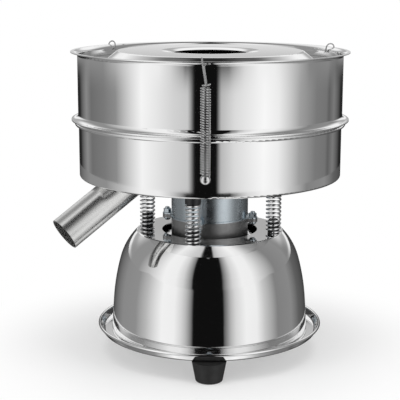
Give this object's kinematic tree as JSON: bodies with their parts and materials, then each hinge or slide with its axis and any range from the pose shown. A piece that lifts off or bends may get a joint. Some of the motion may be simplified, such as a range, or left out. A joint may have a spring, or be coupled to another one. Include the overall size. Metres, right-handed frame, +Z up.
{
  "type": "vibrating sieve",
  "caption": "Round vibrating powder sieve: lidded stainless drum over a screen and pan with a slanted outlet spout, carried on coil springs above a motor base on rubber feet.",
  "frame": {"origin": "central axis of the drum, in the plane the rubber feet stand on", "axes": "+Z up along the drum axis, -Y towards the front clamp spring, +X to the right seen from the front"},
  "size_m": [0.3304, 0.3285, 0.3558],
  "materials": {
    "mirror_stainless": "mirror-polished stainless sheet",
    "satin_stainless": "satin-polished stainless",
    "wire_mesh": "woven stainless wire",
    "bright_spring": "bright spring wire",
    "black_seat": "black moulded seat",
    "black_rubber": "matte black rubber",
    "zinc_steel": "bluish zinc plate",
    "stainless_fastener": "turned stainless",
    "cast_aluminium": "as-cast grey",
    "lamination": "stacked laminations",
    "copper_winding": "varnished copper",
    "shaft_steel": "ground steel",
    "weight_iron": "cast and machined",
    "black_plastic": "moulded black plastic"
  },
  "bodies": {
    "base": {"base_tray": "satin_stainless", "base_bowl": "satin_stainless", "rubber_foot_front": "black_rubber", "rubber_foot_right": "black_rubber", "rubber_foot_left": "black_rubber", "foot_bolts": "zinc_steel", "foot_nuts": "zinc_steel", "base_screws": "zinc_steel", "base_nuts": "zinc_steel", "spring_seats_lower": "black_seat", "seat_screws_lower": "zinc_steel", "suspension_spring_front": "bright_spring", "suspension_spring_right": "bright_spring", "suspension_spring_rear": "bright_spring", "suspension_spring_left": "bright_spring", "switch_bezel": "black_plastic", "gland_body": "black_plastic", "gland_cap": "black_plastic", "gland_lock_nut": "black_plastic", "run_capacitor": "cast_aluminium", "capacitor_nut": "zinc_steel"},
    "deck": {"sieve_pan": "mirror_stainless", "discharge_spout": "satin_stainless", "clamp_studs": "stainless_fastener", "spring_seats_upper": "black_seat", "seat_screws_upper": "stainless_fastener", "motor_weight_cover": "zinc_steel", "motor_housing": "cast_aluminium", "motor_end_shield": "cast_aluminium", "motor_studs": "zinc_steel", "motor_nuts": "zinc_steel", "shield_screws": "zinc_steel", "shield_nuts": "zinc_steel", "motor_mount_screws": "stainless_fastener", "motor_mount_nuts": "zinc_steel", "stator_core": "lamination", "stator_windings": "copper_winding", "upper_bearing": "shaft_steel", "lower_bearing": "shaft_steel"},
    "rotor": {"rotor_shaft": "shaft_steel", "rotor_core": "lamination", "eccentric_upper_weight": "weight_iron", "eccentric_lower_weight": "weight_iron", "weight_set_screws": "zinc_steel"},
    "screen": {"screen_ring": "satin_stainless", "screen_mesh": "wire_mesh"},
    "drum": {"sieve_drum": "mirror_stainless", "lid_rest_ring": "satin_stainless"},
    "lid": {"feed_lid": "mirror_stainless"},
    "clamp_front": {"clamp_spring_front": "bright_spring"},
    "clamp_right": {"clamp_spring_right": "bright_spring"},
    "clamp_left": {"clamp_spring_left": "bright_spring"},
    "rocker": {"switch_rocker": "black_plastic"}
  },
  "joints": [
    {"name": "deck_bounce", "type": "slide", "parent": "base", "child": "deck", "axis": [0, 0, 1], "range_m": [-0.004, 0.004], "stiffness_N_per_m": 26600, "springref_m": 0.0024, "deforming": ["suspension_spring_front", "suspension_spring_right", "suspension_spring_rear", "suspension_spring_left"]},
    {"name": "rotor_spin", "type": "hinge", "parent": "deck", "child": "rotor", "pos_m": [0, 0, 0.1], "axis": [0, 0, 1], "continuous": true},
    {"name": "drum_lift", "type": "slide", "parent": "deck", "child": "drum", "axis": [0, 0, 1], "range_m": [0, 0.12]},
    {"name": "screen_lift", "type": "slide", "parent": "deck", "child": "screen", "axis": [0, 0, 1], "range_m": [0, 0.06]},
    {"name": "lid_lift", "type": "slide", "parent": "drum", "child": "lid", "axis": [0, 0, 1], "range_m": [0, 0.1]},
    {"name": "clamp_front_swing", "type": "hinge", "parent": "deck", "child": "clamp_front", "pos_m": [-0.0046, -0.16454, 0.2316], "axis": [-0.0279, -0.9996, 0], "range_deg": [0, 180], "deforming": ["clamp_spring_front"]},
    {"name": "clamp_right_swing", "type": "hinge", "parent": "deck", "child": "clamp_right", "pos_m": [0.15037, 0.06695, 0.2316], "axis": [0.9135, 0.4067, 0], "range_deg": [0, 180], "deforming": ["clamp_spring_right"]},
    {"name": "clamp_left_swing", "type": "hinge", "parent": "deck", "child": "clamp_left", "pos_m": [-0.13059, 0.1002, 0.2316], "axis": [-0.7934, 0.6088, 0], "range_deg": [0, 180], "deforming": ["clamp_spring_left"]},
    {"name": "rocker_tilt", "type": "hinge", "parent": "base", "child": "rocker", "pos_m": [-0.0159, 0.11311, 0.044], "axis": [-0.9903, -0.1392, 0], "range_deg": [0, 16]}
  ],
  "couplings": [
    {"joint": "screen_lift", "follows": "drum_lift", "ratio": 0.5},
    {"joint": "clamp_front_swing", "follows": "drum_lift", "rad_per_m": 26.17},
    {"joint": "clamp_right_swing", "follows": "drum_lift", "rad_per_m": 26.17},
    {"joint": "clamp_left_swing", "follows": "drum_lift", "rad_per_m": 26.17}
  ]
}
